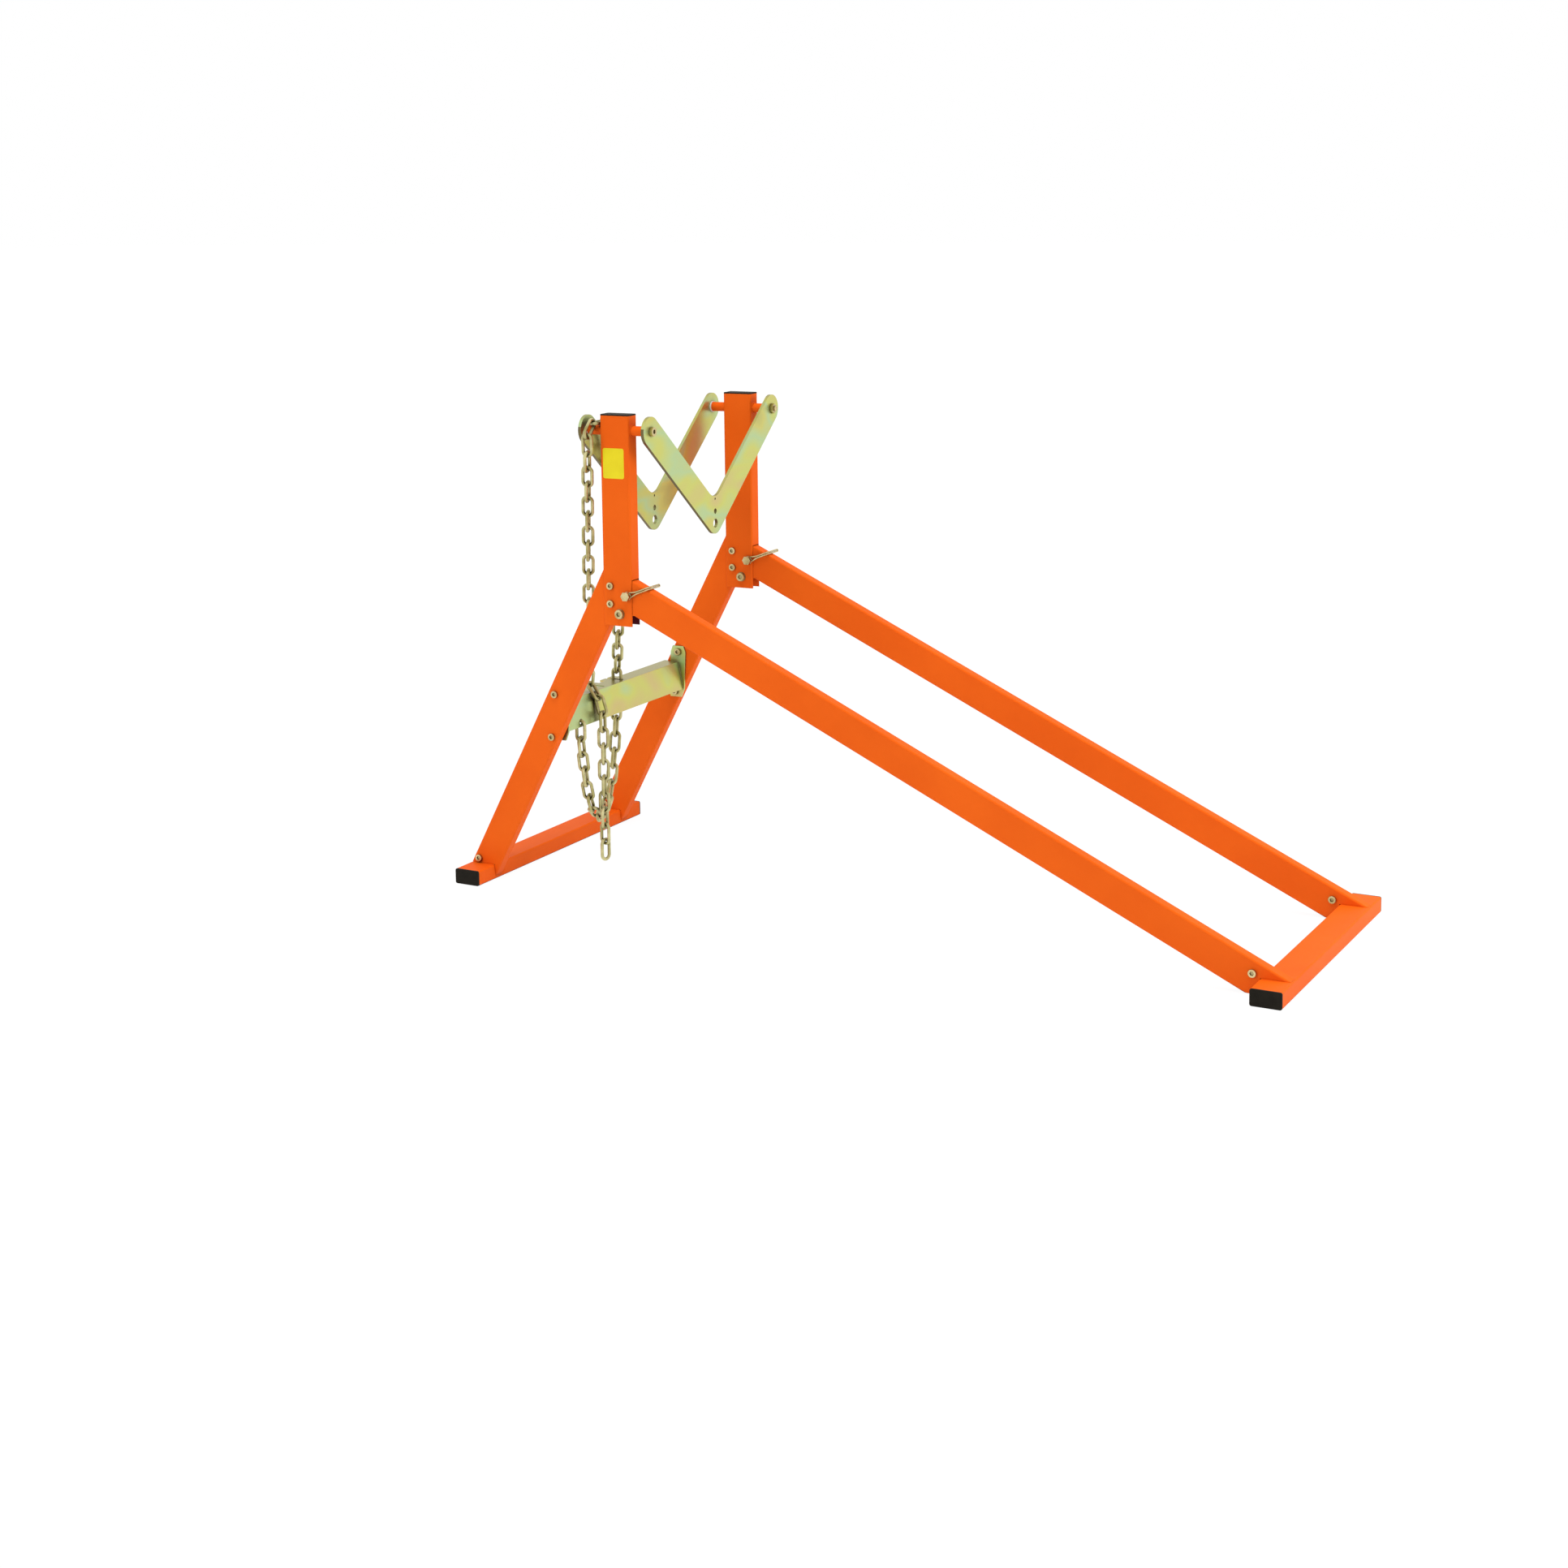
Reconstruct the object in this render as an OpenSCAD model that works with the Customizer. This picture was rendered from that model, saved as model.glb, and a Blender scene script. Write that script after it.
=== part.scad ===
// Folding log saw stand: two side frames of rectangular tube, a V cradle on cross tubes,
// a chain hooked in a folded crossbar, and a rear frame that folds down about two pivot bolts.
// +X points to the rear foot bar, -Y is the side that carries the bolt heads, +Z is up.

/* [Overall] */
// Length over the two foot bars
stand_len = 1320; // [1240:1:1400]
// Width over the foot bar end caps
stand_w = 500; // [470:1:560]
// Height over the post caps
stand_h = 750; // [735:1:800]
// Distance from the middle plane to the centre plane of each side frame
side_y = 193.5; // [180:0.5:205]

/* [Foot bars] */
// Width of the foot bar tube
foot_w = 44; // [40:1:50]
// Height of the foot bar tube
foot_h = 24; // [20:1:28]
// Wall of the foot bar tube
foot_wall = 2; // [1.5:0.25:3]
// Thickness of an end cap outside its tube
cap_t = 2; // [1.5:0.5:4]
// Depth of an end cap's plug inside its tube
plug_len = 14; // [8:1:22]

/* [Posts] */
// Width of a post along the stand
post_w = 50; // [46:1:56]
// Thickness of a post across the stand
post_t = 25; // [23:0.5:30]
// Wall of a post
post_wall = 2; // [1.5:0.25:2.5]
// Distance from the front of the stand to the middle of a post
post_set = 284; // [260:1:310]
// Height of the lower end of the post cheeks
cheek_z = 428; // [420:1:432]
// Height where the front leg's upper edge meets the post
shoulder_z = 515.5; // [505:0.5:525]

/* [Legs] */
// Depth of a leg tube in its side plane
leg_d = 48; // [44:1:50]
// Wall of a leg tube
leg_wall = 2; // [1.5:0.25:2.5]
// Gap between a leg and each cheek
cheek_gap = 0.5; // [0.3:0.1:1]
// Distance from the rear foot bar to the rear leg's toe
toe_in = 20; // [16:1:26]
// Height of the rear leg's toe above the ground
toe_lift = 1; // [0.5:0.5:3]

/* [Fold pivot and lock pin] */
// Offset of the fold pivot from the middle of the post
pivot_dx = 4.4; // [2:0.2:6]
// Height of the fold pivot
pivot_z = 446.6; // [442:0.2:452]
// Diameter of the pivot bolt
pivot_d = 8; // [6:1:8]
// Radius of the rear leg's ear round the pivot
ear_r = 8.5; // [7.5:0.5:9]
// Distance from the pivot to the rear leg's lower edge
ear_drop = 7.4; // [6:0.2:9]
// Distance from the pivot back to the rear leg's end
end_back = 5; // [3:0.5:6]
// Diameter of the lock pin
pin_d = 8; // [6:1:10]
// Radial running clearance of pivots and pins
run_gap = 0.05; // [0.02:0.01:0.1]
// Working gap between pieces that pass each other
pass_gap = 0.5; // [0.3:0.1:1]
// Wire diameter of the lock pin's clip
clip_wire = 2.5; // [2:0.5:3]
// Angle of the clip above the ground line
clip_angle = 21; // [15:1:30]

/* [Cradle] */
// Depth of the post top above the cross tube's axis
tube_drop = 25; // [22:1:40]
// Outer diameter of a cross tube
tube_d = 15; // [13:0.5:16]
// Wall of a cross tube
tube_wall = 2; // [1.5:0.25:2.5]
// Clear distance between the two cradle plates
cradle_gap = 105; // [100:1:130]
// Thickness of a cradle plate
plate_t = 5; // [3:0.5:8]
// Width of a cradle plate's arms
arm_w = 45; // [40:1:48]
// Drop from the arm bolts to the middle of the V
v_drop = 157; // [130:1:175]
// Radius inside the V
v_fillet = 28; // [15:1:40]
// Diameter of the large hole in the V
v_hole = 14; // [10:1:16]
// Diameter of the arm bolts
arm_bolt_d = 8; // [6:1:10]
// Thickness of a nylon washer
washer_t = 2; // [1:0.5:3]
// Diameter of a nylon washer
washer_d = 18; // [16:1:22]

/* [Crossbar] */
// Distance from the front leg's upper edge to the crossbar's upper front edge
bar_in = 23.7; // [20:0.1:28]
// Height of the crossbar's top
bar_z = 294; // [280:1:305]
// Height of the crossbar's front face
bar_face = 46; // [40:1:55]
// Lean of the front face, its lower edge outwards
bar_lean = 10; // [4:1:14]
// Sheet thickness of the crossbar
bar_t = 3; // [2:0.5:4]
// Depth of the crossbar's top flange
bar_depth = 28; // [25:1:32]
// Further depth of the tabs round the chain slots
bar_tab = 10; // [6:1:14]
// Rise of the upper crossbar bolts over the crossbar's top
bar_bolt_up = 17; // [15:0.5:20]
// Drop of the lower crossbar bolts under the crossbar's top
bar_bolt_down = 51; // [46:0.5:56]
// Distance from the crossbar's front edge back to the far slot's link
hook_far = 16; // [14:0.5:18]
// Distance from the crossbar's front edge back to the near slot's link
hook_near = 28; // [26:0.5:28]
// Place of the near chain slot across the stand
slot_near = -48; // [-60:1:-44]
// Place of the far chain slot across the stand
slot_far = 10; // [0:1:20]
// Place of the chain's anchor hole across the stand
anchor_y = -140; // [-150:1:-110]

/* [Chain] */
// Wire diameter of a link
link_wire = 5; // [4:0.5:5.5]
// Inner length of a link
link_len = 21.6; // [21.3:0.1:21.9]
// Inner width of a link
link_width = 7.5; // [7:0.5:8]
// Play between two links
link_play = 0.6; // [0.4:0.1:1]
// Pairs of links in the hanging loop
loop_pairs = 8; // [6:1:9]
// Height of the chain's free end above the ground
tail_lift = 18; // [10:1:60]
// Turn of the hanging links about the chain, between their ends
chain_turn = 30; // [0:1:32]

/* [Fasteners] */
// Diameter of the leg and crossbar bolts
bolt_d = 6; // [5:1:8]
// Diameter of a bolt head
head_d = 11; // [9:0.5:13]
// Height of a bolt head
head_h = 4; // [3:0.5:6]
// Thickness of a nut
nut_t = 5; // [4:0.5:6]
// Radial clearance of a fixed bolt in its hole
bolt_gap = 0.15; // [0.1:0.05:0.3]

/* [Hidden] */
$fn = 48;

coat = [0.95, 0.38, 0.12];
zinc = [0.78, 0.74, 0.45];
plastic = [0.10, 0.10, 0.09];
steel = [0.72, 0.73, 0.74];
nylon = [0.93, 0.93, 0.90];

near_y = -side_y;
far_y = side_y;
front_x = -stand_len / 2;
rear_x = stand_len / 2;
corner_r = 3;
leg_t = post_t - 2 * post_wall - 2 * cheek_gap;

// Side plane: posts and front leg
post_x = front_x + post_set;
post_left = post_x - post_w / 2;
post_right = post_x + post_w / 2;
front_lean = atan2(post_left - front_x, shoulder_z - foot_h);
leg_bolt_x = post_left + post_w * 0.27;
leg_bolt_z = [shoulder_z - post_w * 1.08, shoulder_z - post_w * 0.53];
leg_top_z = shoulder_z + leg_d / 4;
front_bolt = [front_x + foot_w * 0.34, foot_h * 1.33];

// Side plane: pivot, lock pin and rear leg
pivot = [post_x + pivot_dx, pivot_z];
toe_x = rear_x - foot_w - toe_in;
rear_fall = atan2(pivot_z, toe_x - pivot.x) + asin(ear_drop / norm([toe_x - pivot.x, pivot_z]));
rear_along = [cos(rear_fall), -sin(rear_fall)];
rear_up = [sin(rear_fall), cos(rear_fall)];
rear_len = norm([toe_x - pivot.x, pivot_z]) + 2 * foot_w;
pin_r = ear_drop + leg_d / 2;
pin = pivot + pin_r * rear_up;
end_r = ear_drop + leg_d;
wall_end_z = pivot_z + sqrt(pow(end_r + pass_gap, 2) - pow(post_right - post_wall - pivot.x, 2));
rear_bolt = [rear_x - foot_w * 1.23, foot_h * 1.25];

// Cradle
tube_z = stand_h - tube_drop;
tube_len = cradle_gap - 2 * washer_t;
v_angle = atan2(v_drop, side_y);
v_mid = tube_z - v_drop;

// Crossbar
function front_edge_x(z) = front_x + (z - foot_h) * tan(front_lean);
bar_x = front_edge_x(bar_z) + bar_in;
bar_low = [bar_x + bar_face * tan(bar_lean), bar_z - bar_face];
flange_y = side_y - leg_t / 2;
bar_bolts = [
    [front_edge_x(bar_z + bar_bolt_up) + leg_d * 0.3, bar_z + bar_bolt_up],
    [front_edge_x(bar_z - bar_bolt_down) + leg_d * 0.9, bar_z - bar_bolt_down]
];
slot_w = link_wire + 1.5;
far_x = bar_x - hook_far;
near_x = bar_x - hook_near;
anchor_hole = link_wire + 4;
anchor = bar_low + 8 * [-sin(bar_lean), cos(bar_lean)] - bar_t / 2 * [cos(bar_lean), sin(bar_lean)];

// Chain: a flat link spans wire to wire, the next link spans from wire to wire between two flat ones
flat_span = link_len + link_wire;
edge_span = link_len - link_wire - link_play;
pair_span = flat_span + edge_span;
link_out = link_width + 2 * link_wire;
seat_gap = 0.3;
stub_x = (post_left + post_x - tube_len / 2) / 2 + 2;
seat_z = tube_z + tube_d / 2 + link_wire / 2 + seat_gap;
seat_h = seat_z - tube_z;
seat_r = norm([flat_span / 2, seat_h]);
first_fall = atan2(flat_span / 2, seat_h)
    + acos(min(1, (tube_d / 2 + link_out / 2 + seat_gap) / seat_r));
hook_low = bar_z - bar_t - link_wire * 1.5 - 0.5;
hook_high = hook_low + flat_span;
// A strand comes to its slot link from the side, so its end stands off the middle of that link
hook_off = [link_wire / 5, link_wire / 5, -link_wire / 10];
tail_pairs = floor((hook_low - tail_lift) / pair_span);

// Lock pin and clip
ring_wire = clip_wire + 0.4;
clip_room = ring_wire + 0.6;
clip_reach = (leg_d / 2 + clip_wire * 1.1 + pass_gap) / sin(clip_angle + rear_fall);
pin_head_d = pin_d + 5;
pin_head_h = 5;
pin_over = 8;
elbow_r = 3;

// A rectangle with true round corners, centred
module round_rect(w, h, r) {
    square([w - 2 * r, h], center = true);
    square([w, h - 2 * r], center = true);
    for (x = [-1, 1], y = [-1, 1])
        translate([x * (w / 2 - r), y * (h / 2 - r)]) circle(r);
}

// A rectangular tube section
module tube_section(w, h, wall) {
    difference() {
        round_rect(w, h, corner_r);
        round_rect(w - 2 * wall, h - 2 * wall, max(0.5, corner_r - wall));
    }
}

// A side-plane outline (X, Z) made t thick about the plane y
module side_plate(y, t) {
    translate([0, y + t / 2, 0]) rotate([90, 0, 0]) linear_extrude(t) children();
}

// A cylinder along Y from y0, at p in the side plane
module cross_pin(p, d, y0, len) {
    translate([p.x, y0, p.y]) rotate([-90, 0, 0]) cylinder(d = d, h = len);
}

// A hexagon along Y, for nuts and pin heads
module cross_hex(p, d, y0, len) {
    translate([p.x, y0, p.y]) rotate([-90, 0, 0]) cylinder(d = d / cos(30), h = len, $fn = 6);
}

// A bolt along Y: its head lies against y0 on the -Y side and its end stands past the nut
module cross_bolt(p, d, head, y0, grip) {
    cross_pin(p, d, y0 - 0.01, grip + nut_t + 2);
    difference() {
        cross_pin(p, head, y0 - head_h, head_h);
        cross_hex(p, head * 0.5, y0 - head_h - 1, head_h * 0.5 + 1);
    }
}

// A nut along Y with its seat at y0
module cross_nut(p, d, y0) {
    difference() {
        cross_hex(p, d * 1.65, y0, nut_t);
        cross_pin(p, d + 2 * bolt_gap, y0 - 1, nut_t + 2);
    }
}

// A plastic cap: a plate over a tube's end with a plug inside it, along +Z
module end_cap(w, h, wall) {
    linear_extrude(cap_t) round_rect(w, h, corner_r);
    translate([0, 0, -plug_len]) linear_extrude(plug_len + 0.01)
        round_rect(w - 2 * wall - 0.2, h - 2 * wall - 0.2, max(0.5, corner_r - wall));
}

// Posts

module post(y) {
    tube_top = stand_h - cap_t;
    color(coat) difference() {
        translate([post_x, y, cheek_z]) linear_extrude(tube_top - cheek_z)
            tube_section(post_w, post_t, post_wall);
        // Front narrow wall, cut along the front leg's upper edge
        side_plate(y, leg_t + 2 * cheek_gap) polygon([
            [post_left - 1, cheek_z - 1],
            [post_left + post_wall + corner_r, cheek_z - 1],
            [post_left + post_wall + corner_r, front_edge_z(post_left + post_wall + corner_r) + pass_gap],
            [post_left - 1, front_edge_z(post_left - 1) + pass_gap]
        ]);
        // Rear narrow wall, cut clear of the rear leg's sweep
        side_plate(y, leg_t + 2 * cheek_gap) polygon([
            [post_right - post_wall - corner_r, cheek_z - 1],
            [post_right + 1, cheek_z - 1],
            [post_right + 1, wall_end_z],
            [post_right - post_wall - corner_r, wall_end_z]
        ]);
        translate([post_left - 1, y, tube_z]) rotate([0, 90, 0])
            cylinder(d = tube_d + 2 * bolt_gap, h = post_w + 2);
        for (z = leg_bolt_z)
            cross_pin([leg_bolt_x, z], bolt_d + 2 * bolt_gap, y - post_t, 2 * post_t);
        cross_pin(pivot, pivot_d + 2 * bolt_gap, y - post_t, 2 * post_t);
        cross_pin(pin, pin_d + 2 * run_gap, y - post_t, 2 * post_t);
    }
}

module post_cap(y) {
    color(plastic) translate([post_x, y, stand_h - cap_t]) end_cap(post_w, post_t, post_wall);
}

// Front legs

// Height of the front leg's upper edge at x
function front_edge_z(x) = foot_h + (x - front_x) / tan(front_lean);

// The front leg's tube, running from below the ground line up into the post
module front_tube(y) {
    low = -2 * leg_d;
    high = norm([post_left - front_x, shoulder_z - foot_h]) + 2 * leg_d;
    translate([front_x, y, foot_h]) rotate([0, front_lean, 0]) translate([leg_d / 2, 0, low])
        linear_extrude(high - low) tube_section(leg_d, leg_t, leg_wall);
}

// Everything that the front leg's tube is trimmed to
module front_limit() {
    difference() {
        translate([front_x - leg_d, 0])
            square([pivot.x - end_back - 0.8 - front_x + leg_d, leg_top_z]);
        translate([front_x - leg_d, -1]) square([leg_d + foot_w, foot_h + 1]);
    }
}

module front_leg(y) {
    color(coat) difference() {
        intersection() {
            front_tube(y);
            side_plate(y, 2 * leg_t) front_limit();
        }
        for (z = leg_bolt_z)
            cross_pin([leg_bolt_x, z], bolt_d + 2 * bolt_gap, y - leg_t, 2 * leg_t);
        for (p = bar_bolts)
            cross_pin(p, bolt_d + 2 * bolt_gap, y - leg_t, 2 * leg_t);
        cross_pin(front_bolt, bolt_d + 2 * bolt_gap, y - leg_t, 2 * leg_t);
    }
}

// Foot bars

module foot_bar(x) {
    bar_len = stand_w - 2 * cap_t;
    color(coat) translate([x, bar_len / 2, foot_h / 2]) rotate([90, 0, 0])
        linear_extrude(bar_len) tube_section(foot_w, foot_h, foot_wall);
}

module foot_cap(x, side) {
    color(plastic) translate([x, side * (stand_w / 2 - cap_t), foot_h / 2])
        rotate([-side * 90, 0, 0]) end_cap(foot_w, foot_h, foot_wall);
}

// Rear legs

// The rear leg's tube, running from behind the pivot down past the foot bar
module rear_tube(y) {
    translate([pivot.x, y, pivot_z]) rotate([0, rear_fall, 0])
        translate([-2 * leg_d, 0, pin_r]) rotate([0, 90, 0])
        linear_extrude(rear_len + 2 * leg_d) tube_section(leg_d, leg_t, leg_wall);
}

// Everything that the rear leg's tube is trimmed to: chords of the arc that its end sweeps
// under the post's wall, the end face, the foot bar's notch and the toe
module rear_limit() {
    difference() {
        translate(pivot) rotate(-rear_fall) polygon([
            [3, end_r + 0.5],
            for (turn = [105, 120, 140]) end_r * [cos(turn), sin(turn)],
            [-end_r, -leg_d],
            [rear_len, -leg_d],
            [rear_len, end_r + leg_d],
            [3, end_r + leg_d]
        ]);
        translate([pivot.x - end_back - 3 * leg_d, pivot_z - 3 * leg_d]) square([3 * leg_d, 6 * leg_d]);
        translate([rear_x - foot_w, -leg_d]) square([leg_d + foot_w, leg_d + foot_h]);
        translate([toe_x - leg_d, -leg_d]) square([3 * leg_d, leg_d + toe_lift]);
    }
}

// The ear that carries the pivot below the leg's lower edge
module rear_ear() {
    translate(pivot) {
        circle(ear_r);
        rotate(-rear_fall) polygon([
            [-ear_r * 0.8, 0],
            [ear_r * 0.7, -ear_r * 0.45],
            [ear_r * 3, ear_drop + corner_r + 1],
            [-ear_r * 0.8, ear_drop + corner_r + 1]
        ]);
    }
}

// The slot that the lock pin stands in, open to the leg's end along the fold's arc
module pin_slot() {
    slot_r = pin_d / 2 + pass_gap;
    path_r = slot_r - 0.15;
    pin_at = 90 - rear_fall;
    translate(pivot) {
        rotate(pin_at) translate([pin_r, 0]) circle(slot_r);
        intersection() {
            difference() {
                circle(pin_r + path_r, $fn = 128);
                circle(pin_r - path_r, $fn = 128);
            }
            polygon([[0, 0], 3 * pin_r * [cos(pin_at), sin(pin_at)], [-3 * pin_r, 3 * pin_r], [-3 * pin_r, 0]]);
        }
    }
}

module rear_leg(y) {
    color(coat) difference() {
        union() {
            intersection() {
                rear_tube(y);
                side_plate(y, 2 * leg_t) rear_limit();
            }
            for (s = [-1, 1])
                side_plate(y + s * (leg_t - leg_wall) / 2, leg_wall) rear_ear();
        }
        side_plate(y, 2 * leg_t) pin_slot();
        cross_pin(pivot, pivot_d + 2 * run_gap, y - leg_t, 2 * leg_t);
        cross_pin(rear_bolt, bolt_d + 2 * bolt_gap, y - leg_t, 2 * leg_t);
    }
}

// Crossbar

// A chain slot in the top flange, open at the back
module chain_slot(y) {
    back = bar_x - bar_depth - bar_tab - 1;
    front = far_x + link_out / 2 + 1;
    translate([back, y - slot_w / 2, bar_z - 2 * bar_t]) cube([front - back, slot_w, 3 * bar_t]);
}

module crossbar() {
    tab_w = 6 * slot_w;
    color(zinc) difference() {
        union() {
            // Front face and top flange
            side_plate(0, 2 * flange_y) polygon([
                [bar_x - bar_depth, bar_z],
                [bar_x, bar_z],
                bar_low,
                bar_low - bar_t * [cos(bar_lean), sin(bar_lean)],
                [bar_x - bar_t, bar_z - bar_t],
                [bar_x - bar_depth, bar_z - bar_t]
            ]);
            for (y = [slot_near, slot_far])
                translate([bar_x - bar_depth - bar_tab, y - tab_w / 2, bar_z - bar_t])
                    cube([bar_tab + 1, tab_w, bar_t]);
            // End flanges against the inner faces of the front legs
            for (s = [-1, 1])
                side_plate(s * (flange_y - bar_t / 2), bar_t) polygon([
                    [bar_bolts[0].x - 10, bar_bolts[0].y + 10],
                    [bar_bolts[0].x + 10, bar_bolts[0].y + 10],
                    [bar_bolts[0].x + 14, bar_bolts[0].y],
                    [bar_low.x + 2, bar_low.y],
                    [bar_bolts[1].x + 12, bar_bolts[1].y - 9],
                    [bar_bolts[1].x - 9, bar_bolts[1].y - 9],
                    [bar_bolts[1].x - 11, bar_bolts[1].y],
                    [bar_bolts[0].x - 14, bar_bolts[0].y]
                ]);
        }
        for (y = [slot_near, slot_far]) chain_slot(y);
        for (p = bar_bolts)
            cross_pin(p, bolt_d + 2 * bolt_gap, -stand_w, 2 * stand_w);
        translate([anchor.x, anchor_y, anchor.y]) rotate([0, 90 + bar_lean, 0])
            cylinder(d = anchor_hole, h = 4 * bar_t, center = true);
    }
}

// Cradle

module cross_tube(y) {
    color(coat) translate([post_x - tube_len / 2, y, tube_z]) rotate([0, 90, 0])
        difference() {
            cylinder(d = tube_d, h = tube_len);
            translate([0, 0, -1]) cylinder(d = tube_d - 2 * tube_wall, h = tube_len + 2);
        }
}

// One arm of the V, from its bolt to the middle, drawn in the plate's own plane (Y, Z)
module v_arm(side) {
    arm_len = norm([side_y, v_drop]);
    translate([0, v_mid]) rotate(90 - side * (90 - v_angle)) {
        circle(d = arm_w);
        translate([0, -arm_w / 2]) square([arm_len, arm_w]);
        translate([arm_len, 0]) circle(d = arm_w);
    }
}

// The round inside the V
module v_inside() {
    apex = v_mid + arm_w / 2 / cos(v_angle);
    touch = v_fillet * sin(v_angle);
    middle = apex + v_fillet / cos(v_angle);
    difference() {
        polygon([[0, apex - 1], [touch, middle - v_fillet * cos(v_angle)],
                 [-touch, middle - v_fillet * cos(v_angle)]]);
        translate([0, middle]) circle(v_fillet, $fn = 96);
    }
}

module cradle_plate(x) {
    apex = v_mid + arm_w / 2 / cos(v_angle);
    color(zinc) translate([x - plate_t / 2, 0, 0]) rotate([90, 0, 90]) difference() {
        linear_extrude(plate_t) {
            v_arm(1);
            v_arm(-1);
            v_inside();
        }
        for (s = [-1, 1])
            translate([s * side_y, tube_z, -1]) cylinder(d = arm_bolt_d + 2 * bolt_gap, h = plate_t + 2);
        translate([0, v_mid - 6, -1]) cylinder(d = v_hole, h = plate_t + 2);
        translate([0, v_mid + 13, -1]) cylinder(d = v_hole * 0.6, h = plate_t + 2);
        translate([0, apex + 3.5, -1]) cylinder(d = 3.5, h = plate_t + 2);
    }
}

// A bolt along X through a cross tube and both cradle plates; side turns it end for end
module arm_bolt(y, side) {
    grip = cradle_gap + 2 * plate_t;
    color(steel) translate([post_x, y, tube_z]) rotate([0, side * 90, 0]) {
        translate([0, 0, -grip / 2 - nut_t - 3]) cylinder(d = arm_bolt_d, h = grip + nut_t + 3.01);
        translate([0, 0, grip / 2]) difference() {
            cylinder(d = arm_bolt_d * 1.75, h = 5.5);
            translate([0, 0, 3]) cylinder(d = arm_bolt_d * 0.9, h = 5.5, $fn = 6);
        }
    }
}

module arm_nut(y, side) {
    grip = cradle_gap + 2 * plate_t;
    translate([post_x, y, tube_z]) rotate([0, side * 90, 0]) translate([0, 0, -grip / 2 - nut_t])
        difference() {
            cylinder(d = arm_bolt_d * 1.75 / cos(30), h = nut_t, $fn = 6);
            translate([0, 0, -1]) cylinder(d = arm_bolt_d + 2 * bolt_gap, h = nut_t + 2);
        }
}

module nylon_washer(y, side) {
    translate([post_x + side * cradle_gap / 2, y, tube_z]) rotate([0, -side * 90, 0])
        difference() {
            cylinder(d = washer_d, h = washer_t);
            translate([0, 0, -1]) cylinder(d = arm_bolt_d + 2 * bolt_gap, h = washer_t + 2);
        }
}

// Pivot hardware

washer_plate = 1.5;

module pivot_bolt(y) {
    color(steel) cross_bolt(pivot, pivot_d, pivot_d * 1.7, y - post_t / 2 - washer_plate,
                            post_t + 2 * washer_plate);
}

module pivot_washer(y, side) {
    y0 = side < 0 ? y - post_t / 2 - washer_plate : y + post_t / 2;
    difference() {
        cross_pin(pivot, pivot_d * 1.9, y0, washer_plate);
        cross_pin(pivot, pivot_d + 2 * bolt_gap, y0 - 1, washer_plate + 2);
    }
}

// Lock pin and wire clip

module lock_pin(y) {
    face = y - post_t / 2;
    color(steel) {
        cross_pin(pin, pin_d, face - clip_room - 0.01, clip_room + post_t + pin_over);
        cross_hex(pin, pin_head_d, face - clip_room - pin_head_h, pin_head_h);
        translate([pin.x, face + post_t + pin_over - 0.02, pin.y]) rotate([-90, 0, 0])
            cylinder(d1 = pin_d, d2 = pin_d - 3, h = 2);
    }
}

// A spring-wire clip: a ring round the pin, two wires drawn together along the cheek to a ball
// at the neck, and a finger over the leg
module pin_clip(y) {
    ring_r = pin_d / 2 + 0.3 + ring_wire / 2;
    ring_y = y - post_t / 2 - clip_room / 2;
    half = clip_wire * 0.56;
    root = ring_r * [cos(40), sin(40)];
    neck = [3.1 * ring_r, half];
    slope = atan2(root.y - neck.y, neck.x - root.x);
    finger = post_t + clip_room + pin_over;
    color(steel) translate([pin.x, ring_y, pin.y]) rotate([0, -clip_angle, 0]) {
        rotate([90, 0, 0]) rotate_extrude() translate([ring_r, 0]) circle(d = ring_wire);
        translate([clip_reach, finger, 0]) rotate([90, 0, 90]) rotate([0, 0, -90])
            rotate_extrude(angle = 180) translate([half, 0]) circle(d = clip_wire, $fn = 24);
        for (s = [0, 1]) mirror([0, 0, s]) {
            translate([root.x, 0, root.y]) rotate([0, 90 + slope, 0])
                cylinder(d = clip_wire, h = norm(neck - root) - 0.4, $fn = 24);
            translate([neck.x, 0, neck.y]) sphere(d = ring_wire);
            translate([neck.x + 0.4, 0, half]) rotate([0, 90, 0])
                cylinder(d = clip_wire, h = clip_reach - elbow_r - neck.x - 0.4, $fn = 24);
            translate([clip_reach - elbow_r, elbow_r, half]) rotate([0, 0, -90])
                rotate_extrude(angle = 90) translate([elbow_r, 0]) circle(d = clip_wire, $fn = 24);
            translate([clip_reach, elbow_r, half]) rotate([-90, 0, 0])
                cylinder(d = clip_wire, h = finger - elbow_r, $fn = 24);
        }
    }
}

// Chain

function unit(v) = v / norm(v);

// A hanging run from a to b whose middle hangs s below the straight line
function hang(a, b, s, t) = a * (1 - t) + b * t - [0, 0, 4 * s * t * (1 - t)];

// The place on the run where the straight distance from t0 reaches d
function reach(a, b, s, t0, d, lo, hi, n) =
    let (m = (lo + hi) / 2)
    n == 0 ? m
    : norm(hang(a, b, s, m) - hang(a, b, s, t0)) < d ? reach(a, b, s, t0, d, m, hi, n - 1)
    : reach(a, b, s, t0, d, lo, m, n - 1);

// Places of the link ends along the run, one for each span in turn
function walk(a, b, s, spans, i, t) =
    i == len(spans) ? [t]
    : concat([t], walk(a, b, s, spans, i + 1, reach(a, b, s, t, spans[i], t, t + 0.3, 30)));

function walk_end(a, b, s, spans) = let (w = walk(a, b, s, spans, 0, 0)) w[len(w) - 1];

// The sag at which the spans end at b
function sag(a, b, spans, lo, hi, n) =
    let (m = (lo + hi) / 2)
    n == 0 ? m
    : walk_end(a, b, m, spans) > 1 ? sag(a, b, spans, m, hi, n - 1)
    : sag(a, b, spans, lo, m, n - 1);

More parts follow.
